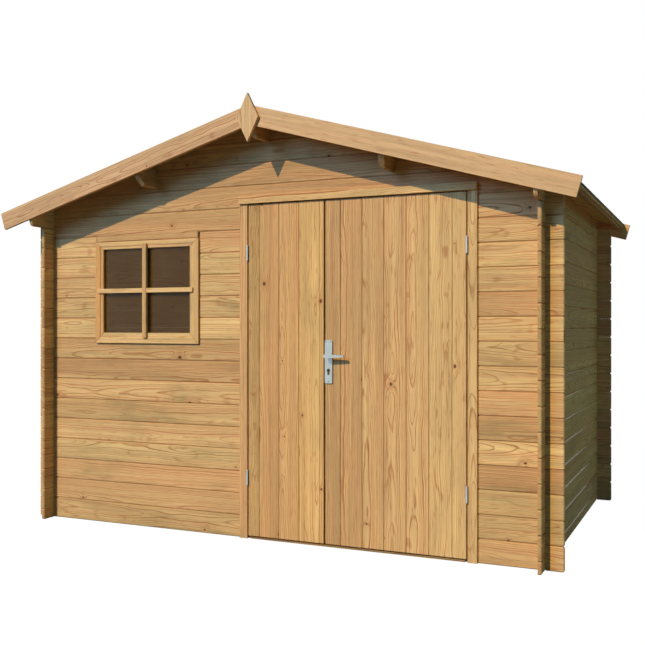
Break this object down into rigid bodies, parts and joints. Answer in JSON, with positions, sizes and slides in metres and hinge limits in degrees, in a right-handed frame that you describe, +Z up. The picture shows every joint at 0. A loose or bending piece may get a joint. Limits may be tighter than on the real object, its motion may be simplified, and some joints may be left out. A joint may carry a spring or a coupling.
{
  "type": "wooden garden shed",
  "caption": "Log-built wooden garden shed with interlocked corners, a low felted gable roof, barge boards, diamond finials, wide paired doors with a lever lock and a fixed window.",
  "frame": {"origin": "middle of the plan with its roof, on the ground", "axes": "+X along the front to the right, front faces -Y, +Z up"},
  "size_m": [3.214, 2.1384, 2.2617],
  "materials": {
    "logs": "impregnated softwood, sawn and planed",
    "boards": "impregnated softwood, sawn and planed",
    "trim": "impregnated softwood, sawn and planed",
    "roof_wood": "impregnated softwood, sawn and planed",
    "felt": "mineral bitumen felt",
    "hinges": "zinc plated",
    "handle": "satin anodised",
    "glass": "clear"
  },
  "bodies": {
    "shed": {"front_wall_left": "logs", "front_wall_right": "logs", "front_gable": "logs", "back_wall": "logs", "back_gable": "logs", "left_wall": "logs", "right_wall": "logs", "left_eaves_log": "logs", "right_eaves_log": "logs", "ridge_purlin": "roof_wood", "left_purlin": "roof_wood", "right_purlin": "roof_wood", "left_roof_boards": "roof_wood", "right_roof_boards": "roof_wood", "left_roof_felt": "felt", "right_roof_felt": "felt", "left_eaves_batten": "roof_wood", "right_eaves_batten": "roof_wood", "front_left_bargeboard": "trim", "front_right_bargeboard": "trim", "back_left_bargeboard": "trim", "back_right_bargeboard": "trim", "front_finial": "trim", "back_finial": "trim", "door_left_jamb": "trim", "door_right_jamb": "trim", "door_head": "trim", "door_sill": "trim", "window_trim": "trim", "window_lining": "trim", "window_inner_trim": "trim", "window_glass": "glass", "left_hinge_frame_halves": "hinges", "right_hinge_frame_halves": "hinges"},
    "left_door": {"left_door_boards": "boards", "left_door_ledges": "boards", "left_hinge_door_halves": "hinges"},
    "right_door": {"right_door_boards": "boards", "right_door_ledges": "boards", "right_hinge_door_halves": "hinges", "outer_lock_plate": "handle", "inner_lock_plate": "handle", "lock_cylinder": "handle"},
    "lever": {"lever_handle": "handle"}
  },
  "joints": [
    {"name": "left_door_hinge", "type": "hinge", "parent": "shed", "child": "left_door", "pos_m": [-0.11, -0.87, 0.32], "axis": [0, 0, -1], "range_deg": [0, 150]},
    {"name": "right_door_hinge", "type": "hinge", "parent": "shed", "child": "right_door", "pos_m": [1.0565, -0.87, 0.32], "axis": [0, 0, 1], "range_deg": [0, 120]},
    {"name": "lever_turn", "type": "hinge", "parent": "right_door", "child": "lever", "pos_m": [0.352, -0.852, 0.957], "axis": [0, 1, 0], "range_deg": [0, 40], "stiffness_Nm_per_rad": 1.5, "springref_deg": -17.19}
  ]
}
